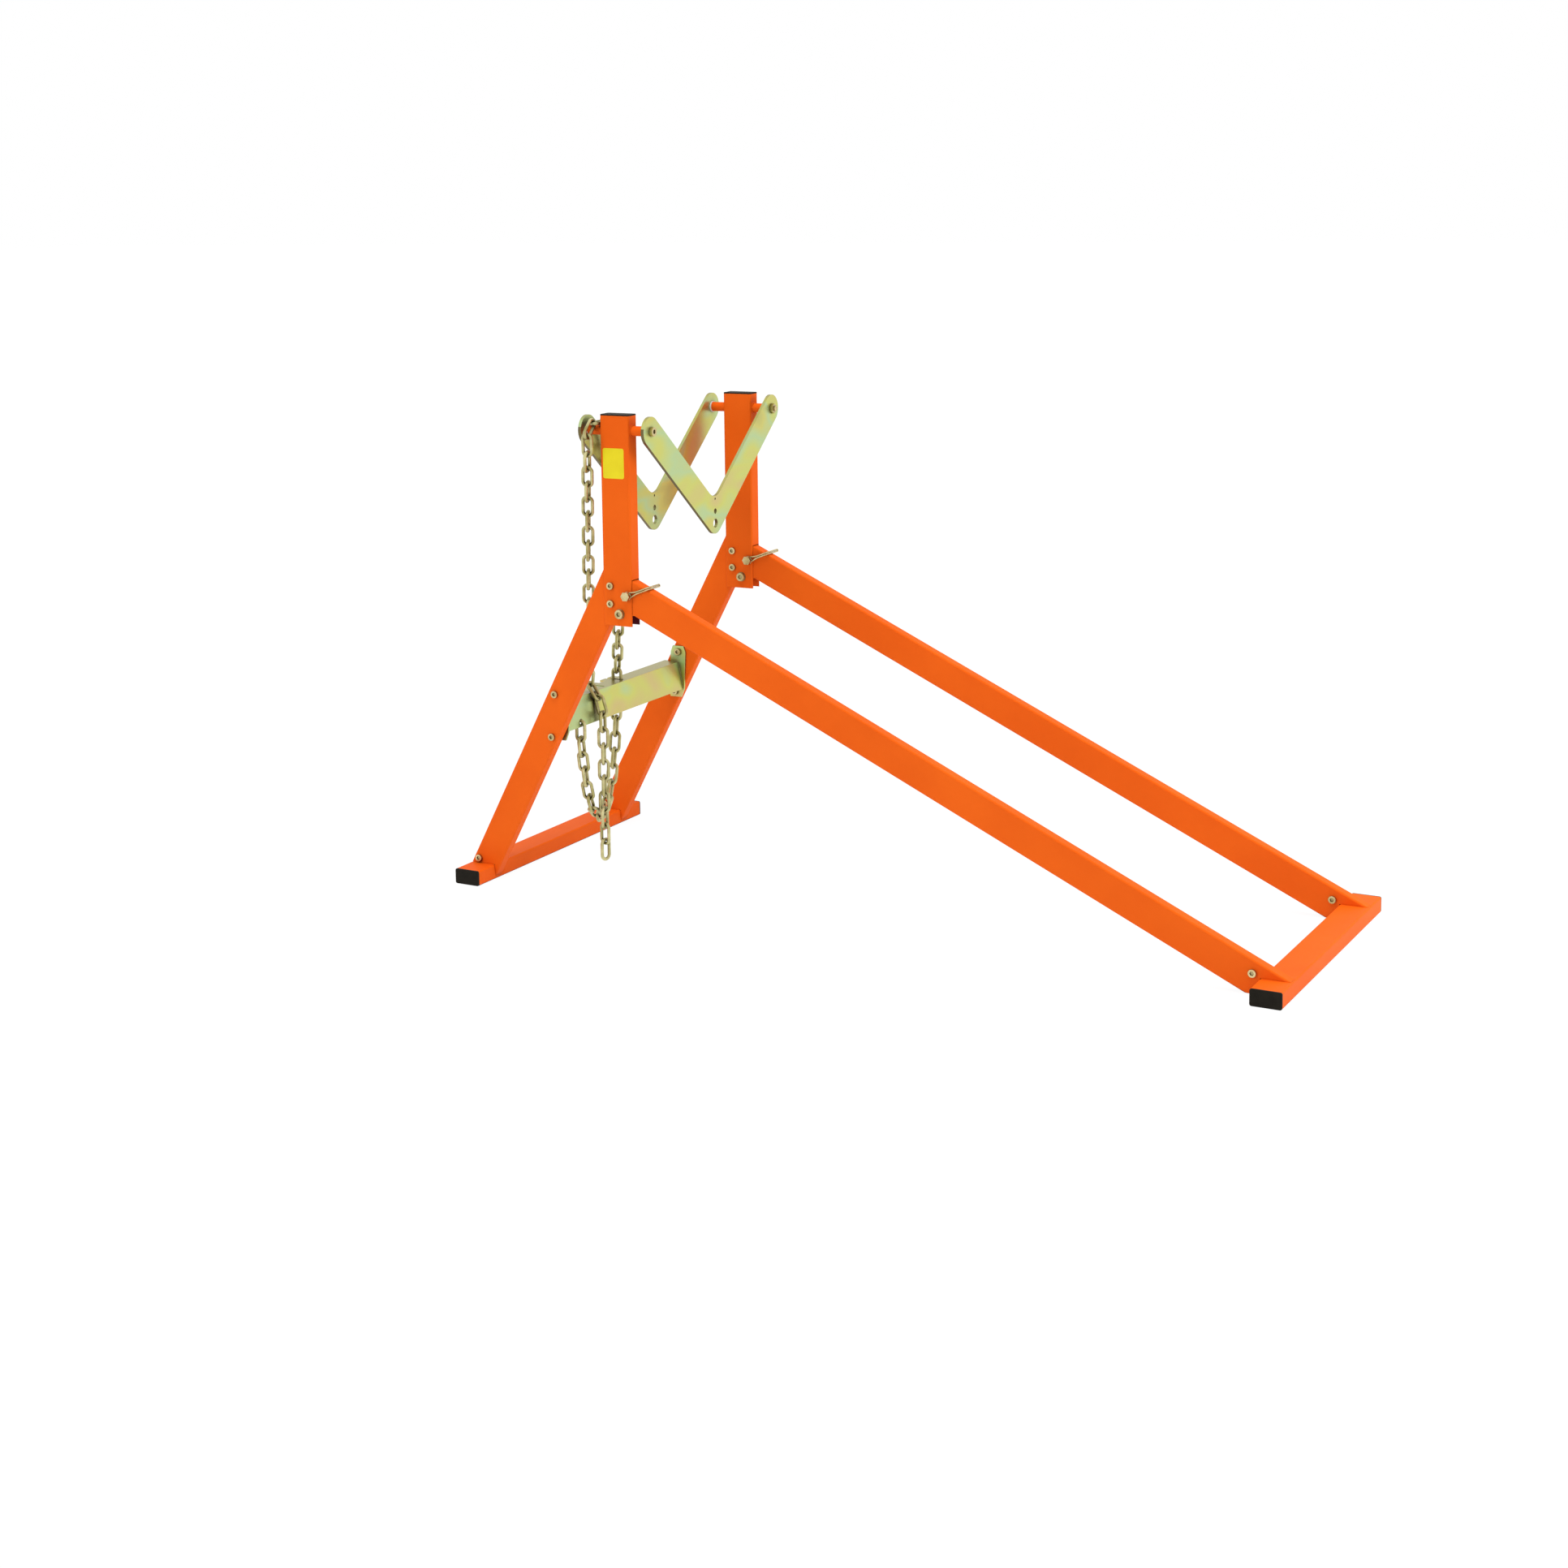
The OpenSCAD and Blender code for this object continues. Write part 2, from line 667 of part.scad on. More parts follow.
// Link ends of a run that hangs from a to b
function run_points(a, b, spans) =
    let (s = sag(a, b, spans, 0, 600, 30))
    [for (t = walk(a, b, s, spans, 0, 0)) hang(a, b, s, t)];

// One link lying along X in the XY plane, straight sides and round ends
module link() {
    bend = (link_width + link_wire) / 2;
    straight = flat_span - 2 * bend;
    for (s = [-1, 1]) {
        translate([s * straight / 2, 0, 0]) rotate([0, 0, -s * 90])
            rotate_extrude(angle = 180) translate([bend, 0]) circle(d = link_wire, $fn = 24);
        translate([-straight / 2, s * bend, 0]) rotate([0, 90, 0])
            cylinder(d = link_wire, h = straight, $fn = 24);
    }
}

// A link centred between p and q; a flat link holds the X direction, an edge link stands across it,
// and turn rolls either of them about the chain
module placed_link(p, q, flat, turn = 0) {
    d = unit(q - p);
    level = unit([1, 0, 0] - d.x * d);
    across = cos(turn) * level - sin(turn) * cross(d, level);
    side = flat ? across : cross(d, across);
    up = cross(d, side);
    c = (p + q) / 2;
    multmatrix([
        [d.x, side.x, up.x, c.x],
        [d.y, side.y, up.y, c.y],
        [d.z, side.z, up.z, c.z]
    ]) link();
}

// Links between the points in turn, the first one flat or on edge; waves counts the half turns
// of the roll, which is nothing at both ends, or grows to its full size where waves is 0.5
module links(points, first_flat, turn = 0, waves = 1) {
    n = len(points) - 1;
    for (i = [0 : n - 1])
        placed_link(points[i], points[i + 1], (i % 2 == 0) == first_flat,
                    turn * sin(180 * waves * (i + 0.5) / n));
}

// Spans of n pairs, starting with a flat link
function pairs_from_flat(n) = [for (i = [1 : n]) each [flat_span, edge_span]];
function pairs_for(a, b) = ceil(norm(b - a) * 1.005 / pair_span);

// The first link end past the seat link on a side of the stub
function seat_end(side) = [stub_x, near_y + side * flat_span / 2, seat_z];
function strand_top(side) =
    seat_end(side) + edge_span * [0, side * cos(first_fall), -sin(first_fall)];

module strand(side, hook_x, slot_y) {
    a = strand_top(side);
    hook = [hook_x, slot_y, hook_high];
    b = hook + hook_off;
    links([seat_end(side), a], false);
    links(run_points(a, b, pairs_from_flat(pairs_for(a, b))), true, chain_turn);
    placed_link(hook, [hook_x, slot_y, hook_low], true);
}

module chain_upper_run() {
    color(zinc) {
        placed_link(seat_end(-1), seat_end(1), true);
        strand(-1, near_x, slot_near);
        strand(1, far_x, slot_far);
    }
}

module chain_loop() {
    top = [anchor.x, anchor_y, anchor.y - anchor_hole / 2 + link_wire / 2 + seat_gap];
    a = top - [0, 0, flat_span];
    b = [far_x, slot_far, hook_low];
    color(zinc) {
        placed_link(top, a, true);
        links(run_points(a, b, concat([edge_span], pairs_from_flat(loop_pairs))), false, chain_turn * 0.7, 2);
    }
}

module chain_tail() {
    drops = [for (i = [0 : tail_pairs]) each [i * pair_span, i * pair_span + edge_span]];
    ends = [for (i = [0 : 2 * tail_pairs]) [near_x, slot_near, hook_low - drops[i]]];
    color(zinc) links(ends, false, chain_turn, 0.5);
}

// Groups of equal fasteners

module leg_bolts() {
    color(steel) for (y = [near_y, far_y], z = leg_bolt_z)
        cross_bolt([leg_bolt_x, z], bolt_d, head_d, y - post_t / 2, post_t);
}

module leg_nuts() {
    color(steel) for (y = [near_y, far_y], z = leg_bolt_z)
        cross_nut([leg_bolt_x, z], bolt_d, y + post_t / 2);
}

// On the near side the flange lies under the nut, on the far side under the head
module crossbar_bolts() {
    color(steel) for (p = bar_bolts) {
        cross_bolt(p, bolt_d, head_d, near_y - leg_t / 2, leg_t + bar_t);
        cross_bolt(p, bolt_d, head_d, far_y - leg_t / 2 - bar_t, leg_t + bar_t);
    }
}

module crossbar_nuts() {
    color(steel) for (p = bar_bolts) {
        cross_nut(p, bolt_d, near_y + leg_t / 2 + bar_t);
        cross_nut(p, bolt_d, far_y + leg_t / 2);
    }
}

module foot_bolts(p) {
    color(steel) for (y = [near_y, far_y]) cross_bolt(p, bolt_d, head_d, y - leg_t / 2, leg_t);
}

module foot_nuts(p) {
    color(steel) for (y = [near_y, far_y]) cross_nut(p, bolt_d, y + leg_t / 2);
}

module pivot_nuts() {
    color(steel) for (y = [near_y, far_y]) cross_nut(pivot, pivot_d, y + post_t / 2 + washer_plate);
}

module pivot_washers() {
    color(steel) for (y = [near_y, far_y], s = [-1, 1]) pivot_washer(y, s);
}

module arm_nuts() {
    color(steel) {
        arm_nut(near_y, 1);
        arm_nut(far_y, -1);
    }
}

module nylon_washers() {
    color(nylon) for (y = [near_y, far_y], s = [-1, 1]) nylon_washer(y, s);
}

plate_off = (cradle_gap + plate_t) / 2;

post(near_y);  // near_post
post(far_y);  // far_post
post_cap(near_y);  // near_post_cap
post_cap(far_y);  // far_post_cap
front_leg(near_y);  // near_front_leg
front_leg(far_y);  // far_front_leg
foot_bar(front_x + foot_w / 2);  // front_foot_bar
foot_cap(front_x + foot_w / 2, -1);  // near_front_foot_cap
foot_cap(front_x + foot_w / 2, 1);  // far_front_foot_cap
crossbar();
cross_tube(near_y);  // near_cross_tube
cross_tube(far_y);  // far_cross_tube
cradle_plate(post_x - plate_off);  // front_cradle_plate
cradle_plate(post_x + plate_off);  // rear_cradle_plate
arm_bolt(near_y, 1);  // near_arm_bolt
arm_bolt(far_y, -1);  // far_arm_bolt
arm_nuts();
nylon_washers();
leg_bolts();
leg_nuts();
pivot_bolt(near_y);  // near_pivot_bolt
pivot_bolt(far_y);  // far_pivot_bolt
pivot_nuts();
pivot_washers();
crossbar_bolts();
crossbar_nuts();
foot_bolts(front_bolt);  // front_foot_bolts
foot_nuts(front_bolt);  // front_foot_nuts
chain_upper_run();
chain_loop();
chain_tail();
rear_leg(near_y);  // near_rear_leg
rear_leg(far_y);  // far_rear_leg
foot_bar(rear_x - foot_w / 2);  // rear_foot_bar
foot_cap(rear_x - foot_w / 2, -1);  // near_rear_foot_cap
foot_cap(rear_x - foot_w / 2, 1);  // far_rear_foot_cap
foot_bolts(rear_bolt);  // rear_foot_bolts
foot_nuts(rear_bolt);  // rear_foot_nuts
lock_pin(near_y);  // near_lock_pin
lock_pin(far_y);  // far_lock_pin
pin_clip(near_y);  // near_pin_clip
pin_clip(far_y);  // far_pin_clip
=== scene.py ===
# Looks of a folding saw stand. Lengths are in metres, +Z is up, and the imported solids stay
# as they are: the pieces below get their finishes, and what only shows is added.
import math

import bpy
from mathutils import Matrix, Vector


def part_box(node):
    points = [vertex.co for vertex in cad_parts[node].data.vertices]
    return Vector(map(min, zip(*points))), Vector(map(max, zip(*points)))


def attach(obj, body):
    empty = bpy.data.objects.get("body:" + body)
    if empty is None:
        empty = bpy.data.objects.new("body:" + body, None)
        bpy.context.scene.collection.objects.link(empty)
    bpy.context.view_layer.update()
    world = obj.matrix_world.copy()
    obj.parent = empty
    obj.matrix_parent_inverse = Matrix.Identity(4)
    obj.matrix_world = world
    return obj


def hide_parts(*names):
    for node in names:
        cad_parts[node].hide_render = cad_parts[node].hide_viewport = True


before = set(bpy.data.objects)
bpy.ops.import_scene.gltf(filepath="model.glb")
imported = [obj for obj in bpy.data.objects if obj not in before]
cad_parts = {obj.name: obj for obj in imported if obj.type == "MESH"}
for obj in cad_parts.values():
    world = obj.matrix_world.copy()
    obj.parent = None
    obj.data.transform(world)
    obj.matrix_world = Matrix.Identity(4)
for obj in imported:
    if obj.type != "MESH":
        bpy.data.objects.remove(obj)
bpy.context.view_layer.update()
bpy.ops.object.select_all(action="DESELECT")


# Camera
# It stands to the right of the near side, a little above the post tops, and is turned
# and shifted so that the stand lies in the frame as it does in the photograph.
eye_place = (1.5822, -3.4238, 1.1104)
view_turn = math.radians(31.409)
view_drop = math.radians(7.968)
view_tilt = math.radians(-1.214)
lens_shift = (0.1096, -0.1653)
toward_eye = Vector((
    math.sin(view_turn) * math.cos(view_drop),
    -math.cos(view_turn) * math.cos(view_drop),
    math.sin(view_drop),
))
level_right = Vector((math.cos(view_turn), math.sin(view_turn), 0))
level_up = toward_eye.cross(level_right)
eye_right = math.cos(view_tilt) * level_right + math.sin(view_tilt) * level_up
eye_up = -math.sin(view_tilt) * level_right + math.cos(view_tilt) * level_up
bpy.ops.object.camera_add()
camera = bpy.context.object
camera.matrix_world = Matrix.Translation(eye_place) @ Matrix(
    (eye_right, eye_up, toward_eye)
).transposed().to_4x4()
camera.data.sensor_width = 36
camera.data.lens = 57.85
camera.data.shift_x, camera.data.shift_y = lens_shift
camera.data.clip_end = 100
bpy.context.scene.camera = camera
bpy.context.scene.view_settings.view_transform = "Standard"


# Posts, legs, foot bars and cross tubes
# Drawn rectangular steel tube, cut, drilled and bent to shape, then powder coated orange.
# The coat is a thick satin film with a faint orange-peel; it carries painted shade in tight
# corners and a painted highlight along the edges.
coat_orange = (0.800, 0.121, 0.0062, 1)
coat_deep = (0.740, 0.102, 0.0048, 1)
# Painted highlight colour along the softened edges.
coat_edge_highlight = (0.840, 0.160, 0.0110, 1)
# Painted shade colour for tight corners.
coat_shadow = (0.110, 0.010, 0.0030, 1)
hollow_samples = 8
mix_under, mix_over, mix_result = 6, 7, 2


def add_node(owner, kind, **inputs):
    """A new shader node with some of its sockets set; From_Min stands for From Min."""
    made = owner.node_tree.nodes.new(kind)
    for key, value in inputs.items():
        made.inputs[key.replace("_", " ")].default_value = value
    return made


def join(owner, source, out, target, into):
    owner.node_tree.links.new(source.outputs[out], target.inputs[into])


def new_finish(name, metallic, roughness, gloss=0.5):
    mat = bpy.data.materials.new(name)
    mat.use_nodes = True
    shader = mat.node_tree.nodes["Principled BSDF"]
    shader.inputs["Specular IOR Level"].default_value = gloss
    shader.inputs["Metallic"].default_value = metallic
    shader.inputs["Roughness"].default_value = roughness
    return mat, shader


def mottle(mat, first, second, scale, detail, low, high):
    """Two colours mixed by a noise on the piece's own coordinates."""
    place = add_node(mat, "ShaderNodeTexCoord")
    noise = add_node(mat, "ShaderNodeTexNoise", Scale=scale, Detail=detail)
    ramp = add_node(mat, "ShaderNodeValToRGB")
    ramp.color_ramp.elements[0].position = low
    ramp.color_ramp.elements[0].color = first
    ramp.color_ramp.elements[1].position = high
    ramp.color_ramp.elements[1].color = second
    join(mat, place, "Object", noise, "Vector")
    join(mat, noise, "Fac", ramp, "Fac")
    return ramp


def edge_mask(mat, soft, gain):
    """White where a softened edge turns away from the flat face."""
    flat = add_node(mat, "ShaderNodeNewGeometry")
    facing = add_node(mat, "ShaderNodeVectorMath")
    facing.operation = "DOT_PRODUCT"
    join(mat, soft, "Normal", facing, 0)
    join(mat, flat, "Normal", facing, 1)
    turned = add_node(mat, "ShaderNodeMapRange", From_Min=1, From_Max=1 - gain)
    join(mat, facing, "Value", turned, "Value")
    return turned


def hollow(mat, reach):
    """White in the open, darker where other surfaces lie within reach; used for painted shade.
    """
    made = add_node(mat, "ShaderNodeAmbientOcclusion", Distance=reach)
    made.samples = hollow_samples
    return made


def hollow_mask(mat, reach, open_level, deep_level):
    """White deep in the hollows and black in the open; a mask for painted shade."""
    deep = add_node(mat, "ShaderNodeMapRange", From_Min=open_level, From_Max=deep_level)
    join(mat, hollow(mat, reach), "AO", deep, "Value")
    return deep


def grain(mat, shader, soft, scale, strength, depth):
    """Fine surface relief over softened edges."""
    place = add_node(mat, "ShaderNodeTexCoord")
    noise = add_node(mat, "ShaderNodeTexNoise", Scale=scale, Detail=3)
    bump = add_node(mat, "ShaderNodeBump", Strength=strength, Distance=depth)
    join(mat, place, "Object", noise, "Vector")
    join(mat, noise, "Fac", bump, "Height")
    join(mat, soft, "Normal", bump, "Normal")
    join(mat, bump, "Normal", shader, "Normal")


def blend_by(mat, mask, under, out, over):
    """One node's colour, giving way to a plain colour where the mask is white."""
    mix = add_node(mat, "ShaderNodeMix")
    mix.data_type = "RGBA"
    mix.inputs[mix_over].default_value = over
    join(mat, mask, 0, mix, "Factor")
    join(mat, under, out, mix, mix_under)
    return mix


def dress(mat, *names):
    for name in names:
        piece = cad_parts[name]
        piece.data.materials.clear()
        piece.data.materials.append(mat)


def orange_coat(name):
    """The satin film, with painted shade in tight corners and a painted highlight along the
    edges.
    """
    coat, shader = new_finish(name, metallic=0.0, roughness=0.55, gloss=0.08)
    tone = mottle(coat, coat_deep, coat_orange, scale=9, detail=4, low=0.30, high=0.72)
    # Painted shade: darker where other surfaces are near.
    tight = hollow_mask(coat, reach=0.03, open_level=0.50, deep_level=0.10)
    shaded = blend_by(coat, tight, tone, "Color", coat_shadow)
    soft = add_node(coat, "ShaderNodeBevel", Radius=0.0012)
    # Painted highlight: paler along the softened edges.
    rim = edge_mask(coat, soft, gain=0.25)
    colour = blend_by(coat, rim, shaded, mix_result, coat_edge_highlight)
    join(coat, colour, mix_result, shader, "Base Color")
    grain(coat, shader, soft, scale=650, strength=0.10, depth=0.0006)
    return coat, shader, colour


powder_coat = orange_coat("orange_powder_coat")[0]
dress(
    powder_coat, "far_post", "near_front_leg", "far_front_leg", "front_foot_bar",
    "near_cross_tube", "far_cross_tube", "near_rear_leg", "far_rear_leg", "rear_foot_bar",
)


# Inside of the near post
# The inner walls of this opened tube end that face the legs are painted dark red as painted
# shade;
# the far post has none.
# Painted shade colour for the inner walls of the near post.
inner_shade_red = (0.075, 0.004, 0.009, 1)
wall_margin = 0.001
wall_facing_least = 0.7
post_low, post_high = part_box("near_post")
post_middle = abs(post_low[1] + post_high[1]) / 2
post_inside = (post_high[1] - post_low[1]) / 2 - wall_margin


def reckon(owner, kind, source, out, value=None):
    """One sum on a number of another node, with a second number where it takes one."""
    made = add_node(owner, "ShaderNodeMath")
    made.operation = kind
    join(owner, source, out, made, 0)
    if value is not None:
        made.inputs[1].default_value = value
    return made


def reckon_two(owner, kind, first, first_out, second, second_out):
    """One sum on the numbers of two nodes."""
    made = reckon(owner, kind, first, first_out)
    join(owner, second, second_out, made, 1)
    return made


def split(owner, kind, out):
    """A place or a facing that a new node gives, in its three parts."""
    parts = add_node(owner, "ShaderNodeSeparateXYZ")
    join(owner, add_node(owner, kind), out, parts, "Vector")
    return parts


post_coat, post_shader, post_colour = orange_coat("orange_post_coat")
wall_place = split(post_coat, "ShaderNodeTexCoord", "Object")
wall_out = reckon(post_coat, "ABSOLUTE", wall_place, "Y")
wall_off = reckon(post_coat, "SUBTRACT", wall_out, 0, post_middle)
wall_gap = reckon(post_coat, "ABSOLUTE", wall_off, 0)
wall_inner = reckon(post_coat, "LESS_THAN", wall_gap, 0, post_inside)
wall_facing = split(post_coat, "ShaderNodeNewGeometry", "True Normal")
wall_flat = reckon(post_coat, "ABSOLUTE", wall_facing, "Y")
wall_wide = reckon(post_coat, "GREATER_THAN", wall_flat, 0, wall_facing_least)
wall_shade_mask = reckon_two(post_coat, "MULTIPLY", wall_wide, 0, wall_inner, 0)
# Painted shade: inner walls facing the legs turn dark red.
wall_colour = blend_by(post_coat, wall_shade_mask, post_colour, mix_result, inner_shade_red)
join(post_coat, wall_colour, mix_result, post_shader, "Base Color")
dress(post_coat, "near_post")


# Tube welds
# Small fillet welds where the cross tubes go through the posts' narrow walls, laid in
# short ripples and covered by the same orange coat.
weld_size = 0.0011
weld_stand_off = weld_size * 0.4
weld_ripple = 0.0004
weld_grain = bpy.data.textures.new("weld_grain", "CLOUDS")
weld_grain.noise_scale = 0.003
for side in ("near", "far"):
    post_low, post_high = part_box(side + "_post")
    tube_low, tube_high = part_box(side + "_cross_tube")
    tube_y, tube_z = (tube_low[1] + tube_high[1]) / 2, (tube_low[2] + tube_high[2]) / 2
    for wall in (post_low[0], post_high[0]):
        bpy.ops.mesh.primitive_torus_add(
            major_radius=(tube_high[2] - tube_low[2]) / 2 + weld_stand_off,
            minor_radius=weld_size, major_segments=96, minor_segments=12,
            location=(wall, tube_y, tube_z), rotation=(0, math.radians(90), 0),
        )
        weld = bpy.context.object
        weld.name = side + ("_front_weld" if wall == post_low[0] else "_rear_weld")
        bpy.ops.object.transform_apply(location=True, rotation=True, scale=True)
        ripple = weld.modifiers.new("ripple", "DISPLACE")
        ripple.texture = weld_grain
        ripple.strength = weld_ripple
        bpy.ops.object.modifier_apply(modifier="ripple")
        bpy.ops.object.shade_smooth()
        weld.data.materials.append(powder_coat)
        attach(weld, "frame")


# End caps
# Injection-moulded black plastic plugs pushed into the open tube ends, with a fine
# spark-eroded grain on the face.
black_deep = (0.0075, 0.0060, 0.0035, 1)
black_pale = (0.0140, 0.0115, 0.0070, 1)
black_edge = (0.045, 0.043, 0.038, 1)
moulded_black, black_shader = new_finish(
    "moulded_black", metallic=0.0, roughness=0.62, gloss=0.12
)
black_tone = mottle(
    moulded_black, black_deep, black_pale, scale=60, detail=3, low=0.3, high=0.8
)
black_soft = add_node(moulded_black, "ShaderNodeBevel", Radius=0.0015)
black_rim = edge_mask(moulded_black, black_soft, gain=0.3)
black_colour = blend_by(moulded_black, black_rim, black_tone, "Color", black_edge)
join(moulded_black, black_colour, mix_result, black_shader, "Base Color")
grain(moulded_black, black_shader, black_soft, scale=1400, strength=0.25, depth=0.0004)
dress(
    moulded_black, "near_post_cap", "far_post_cap", "near_front_foot_cap",
    "far_front_foot_cap", "near_rear_foot_cap", "far_rear_foot_cap",
)


# Crossbar
# Sheet steel, laser cut, folded and bolted between the front legs. Its yellow chromate on
# zinc runs from straw to pale green and pink; painted shade darkens the faces on top and the
# hollows.
film_tints = (
    (0.28, (0.47, 0.44, 0.14, 1)),
    (0.40, (0.61, 0.57, 0.15, 1)),
    (0.49, (0.47, 0.61, 0.30, 1)),
    (0.57, (0.60, 0.61, 0.15, 1)),
    (0.66, (0.62, 0.51, 0.20, 1)),
    (0.75, (0.60, 0.54, 0.14, 1)),
)
film_run = (7, 6, 11)
# Painted shade colour for faces that look up.
top_shade_olive = (0.36, 0.32, 0.10, 1)
top_shade_least = 0.6
# Painted shade colour for the hollows.
hollow_shade_brown = (0.10, 0.06, 0.02, 1)
film_edge = (0.62, 0.58, 0.28, 1)
zinc_sheet, sheet_shader = new_finish("yellow_zinc_sheet", metallic=0.85, roughness=0.34)
sheet_place = add_node(zinc_sheet, "ShaderNodeTexCoord")
sheet_run = add_node(zinc_sheet, "ShaderNodeMapping", Scale=film_run)
sheet_cloud = add_node(zinc_sheet, "ShaderNodeTexNoise", Scale=1.0, Detail=2, Distortion=0.4)
sheet_tint = add_node(zinc_sheet, "ShaderNodeValToRGB")
tint_ramp = sheet_tint.color_ramp
for end, (spot, tint) in ((0, film_tints[0]), (1, film_tints[-1])):
    tint_ramp.elements[end].position = spot
    tint_ramp.elements[end].color = tint
for spot, tint in film_tints[1:-1]:
    tint_ramp.elements.new(spot).color = tint
join(zinc_sheet, sheet_place, "Object", sheet_run, "Vector")
join(zinc_sheet, sheet_run, "Vector", sheet_cloud, "Vector")
join(zinc_sheet, sheet_cloud, "Fac", sheet_tint, "Fac")
sheet_facing = split(zinc_sheet, "ShaderNodeNewGeometry", "Normal")
sheet_up = add_node(zinc_sheet, "ShaderNodeMapRange", From_Min=top_shade_least)
join(zinc_sheet, sheet_facing, "Z", sheet_up, "Value")
# Painted shade on the faces that look up.
sheet_tint_top_shade = blend_by(zinc_sheet, sheet_up, sheet_tint, "Color", top_shade_olive)
# Painted shade where other surfaces are near.
sheet_deep = hollow_mask(zinc_sheet, reach=0.022, open_level=0.82, deep_level=0.42)
sheet_shaded = blend_by(zinc_sheet, sheet_deep, sheet_tint_top_shade, mix_result, hollow_shade_brown)
sheet_soft = add_node(zinc_sheet, "ShaderNodeBevel", Radius=0.0008)
sheet_rim = edge_mask(zinc_sheet, sheet_soft, gain=0.3)
sheet_colour = blend_by(zinc_sheet, sheet_rim, sheet_shaded, mix_result, film_edge)
join(zinc_sheet, sheet_colour, mix_result, sheet_shader, "Base Color")
grain(zinc_sheet, sheet_shader, sheet_soft, scale=300, strength=0.06, depth=0.0004)
dress(zinc_sheet, "crossbar")


# Cradle plates
# Flat steel plate, laser cut to a V, plated like the crossbar and held by the arm bolts.
# The cut edges and hole walls that do not face up are dark brown: partly bare cut steel,
# partly painted shade.
# Dark brown for cut steel, with painted shade on edges and hole walls not facing up.
cut_edge_and_shade_brown = (0.170, 0.135, 0.055, 1)
plate_face_least = 0.5
plate_under_most = 0.2
plate_zinc = zinc_sheet.copy()
plate_zinc.name = "yellow_zinc_plate"
plate_facing = split(plate_zinc, "ShaderNodeNewGeometry", "True Normal")
plate_front = reckon(plate_zinc, "ABSOLUTE", plate_facing, "X")
plate_edge = reckon(plate_zinc, "LESS_THAN", plate_front, 0, plate_face_least)
plate_under = reckon(plate_zinc, "LESS_THAN", plate_facing, "Z", plate_under_most)
plate_cut_and_shade = reckon_two(plate_zinc, "MULTIPLY", plate_edge, 0, plate_under, 0)
plate_film_and_shade = plate_zinc.node_tree.nodes[sheet_colour.name]
# Painted shade and bare cut steel on the edges and hole walls that do not face up.
plate_colour = blend_by(plate_zinc, plate_cut_and_shade, plate_film_and_shade, mix_result, cut_edge_and_shade_brown)
plate_shader = plate_zinc.node_tree.nodes[sheet_shader.name]
join(plate_zinc, plate_colour, mix_result, plate_shader, "Base Color")
dress(plate_zinc, "front_cradle_plate", "rear_cradle_plate")


# Chain
# Round wire, bent and butt-welded into links and barrel plated in pale yellow zinc, with
# painted shade darkening it inside each link. It is laid over the near cross tube and hooked
# to the crossbar.
chain_dull = (0.36, 0.32, 0.11, 1)
chain_pale = (0.70, 0.65, 0.34, 1)
# Painted shade colour inside the links.
chain_hollow_shade = (0.06, 0.05, 0.02, 1)


def shade_by(mat, reach, tone, dark):
    """A mottled tone with painted shade where other surfaces lie within reach."""
    mix = add_node(mat, "ShaderNodeMix")
    mix.data_type = "RGBA"
    mix.inputs[mix_under].default_value = dark
    join(mat, hollow(mat, reach), "AO", mix, "Factor")
    join(mat, tone, "Color", mix, mix_over)
    return mix


chain_zinc, chain_shader = new_finish("chain_zinc", metallic=0.9, roughness=0.33)
chain_tone = mottle(
    chain_zinc, chain_dull, chain_pale, scale=55, detail=3, low=0.30, high=0.70
)
# Painted shade where the links touch and cross.
chain_colour = shade_by(chain_zinc, 0.016, chain_tone, chain_hollow_shade)
join(chain_zinc, chain_colour, mix_result, chain_shader, "Base Color")
chain_soft = add_node(chain_zinc, "ShaderNodeBevel", Radius=0.0004)
grain(chain_zinc, chain_shader, chain_soft, scale=420, strength=0.08, depth=0.0004)

link_wire = 0.0053
link_wide = 0.0202
link_step = 0.0260
link_play = 0.0011
link_hold = (link_wire + link_play) / 2
link_long = link_step + link_play + 2 * link_wire
bpy.ops.mesh.primitive_torus_add(
    major_radius=(link_wide - link_wire) / 2, minor_radius=link_wire / 2,
    major_segments=26, minor_segments=12,
)
link = bpy.context.object
link.name = "chain_link"
for end in (-1, 1):
    bpy.ops.object.mode_set(mode="EDIT")
    bpy.ops.mesh.select_all(action="DESELECT")
    bpy.ops.object.mode_set(mode="OBJECT")
    for corner in link.data.vertices:
        corner.select = corner.co.x * end > 0
    bpy.ops.object.mode_set(mode="EDIT")
    bpy.ops.transform.translate(value=(end * (link_long - link_wide) / 2, 0, 0))
    bpy.ops.object.mode_set(mode="OBJECT")
bpy.ops.object.shade_smooth()
link.data.materials.append(chain_zinc)


def way(start, stop):
    """The direction from one place to another."""
    return (stop - start).normalized()


def even_points(start, stop, count):
    """Link ends along a straight strand."""
    return [start.lerp(stop, spot / count) for spot in range(count + 1)]


def hung_points(start, stop, count):
    """Link ends along a slack strand that hangs by its own weight.

    The bend of the curve is found by halving, so that its length is that of the links.
    """
    run = (stop - start) * Vector((1, 1, 0))
    span, rise = run.length, stop.z - start.z
    taut = math.sqrt((count * link_step) ** 2 - rise ** 2)
    low, high, halvings = span / 40, span * 4, 60
    for _ in range(halvings):
        bend = (low + high) / 2
        if 2 * bend * math.sinh(span / (2 * bend)) > taut:
            low = bend
        else:
            high = bend
    middle = span / 2 - bend * math.asinh(rise / (2 * bend * math.sinh(span / (2 * bend))))
    first = math.sinh(-middle / bend)
    ends = []
    for spot in range(count + 1):
        across = middle + bend * math.asinh(first + spot * link_step / bend)
        height = bend * (math.cosh((across - middle) / bend) - math.cosh(middle / bend))
        ends.append(start + run * (across / span) + Vector((0, 0, height)))
    return ends


